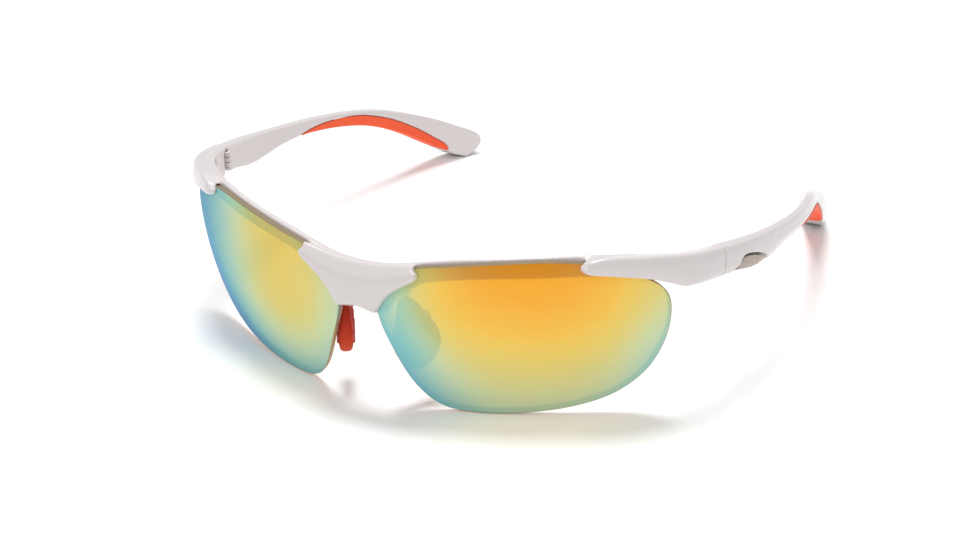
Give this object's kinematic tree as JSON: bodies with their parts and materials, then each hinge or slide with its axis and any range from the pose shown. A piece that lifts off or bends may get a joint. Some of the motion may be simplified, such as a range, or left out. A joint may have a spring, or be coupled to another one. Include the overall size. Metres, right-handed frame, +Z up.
{
  "type": "wraparound sport sunglasses",
  "caption": "Half-rim wraparound sport sunglasses with mirrored spherical lenses, soft swinging nose pads, and folding temples with rubber ear grips.",
  "frame": {"origin": "on the table, midway between the two sides and midway between the front of the bridge and the tips of the open temples", "axes": "+X towards the wearer's left, -Y to the front (the way the wearer looks), +Z up, as the open glasses rest on a table on their lenses and temple tips"},
  "size_m": [0.1494, 0.1623, 0.0437],
  "materials": {
    "white_plastic": "glossy warm white",
    "mirrored_lens": "orange to teal mirror coating",
    "pad_rubber": "matt dark red-orange",
    "grip_rubber": "matt orange-red",
    "hinge_metal": "white lacquer",
    "steel": "satin",
    "badge_metal": "fine brushed"
  },
  "bodies": {
    "front": {"front_frame": "white_plastic", "lens_left": "mirrored_lens", "lens_right": "mirrored_lens", "nose_carrier": "white_plastic", "nose_carrier_screw": "steel", "front_hinge_leaf_left": "hinge_metal", "front_hinge_leaf_right": "hinge_metal", "hinge_screw_left": "steel", "hinge_screw_right": "steel"},
    "left_arm": {"temple_left": "white_plastic", "ear_grip_left": "grip_rubber", "badge_left": "badge_metal", "temple_hinge_leaf_left": "hinge_metal"},
    "right_arm": {"temple_right": "white_plastic", "ear_grip_right": "grip_rubber", "badge_right": "badge_metal", "temple_hinge_leaf_right": "hinge_metal"},
    "left_nose_pad": {"nose_pad_left": "pad_rubber", "nose_wire_left": "steel"},
    "right_nose_pad": {"nose_pad_right": "pad_rubber", "nose_wire_right": "steel"}
  },
  "joints": [
    {"name": "left_temple_fold", "type": "hinge", "parent": "front", "child": "left_arm", "pos_m": [0.0679, -0.031, 0.0347], "axis": [0, 0, 1], "range_deg": [0, 95]},
    {"name": "right_temple_fold", "type": "hinge", "parent": "front", "child": "right_arm", "pos_m": [-0.0679, -0.031, 0.0347], "axis": [0, 0, -1], "range_deg": [0, 88]},
    {"name": "left_pad_swing", "type": "hinge", "parent": "front", "child": "left_nose_pad", "pos_m": [0.008, -0.072, 0.0318], "axis": [0, 1, 0], "range_deg": [-8, 8]},
    {"name": "right_pad_swing", "type": "hinge", "parent": "front", "child": "right_nose_pad", "pos_m": [-0.008, -0.072, 0.0318], "axis": [0, -1, 0], "range_deg": [-8, 8]}
  ]
}
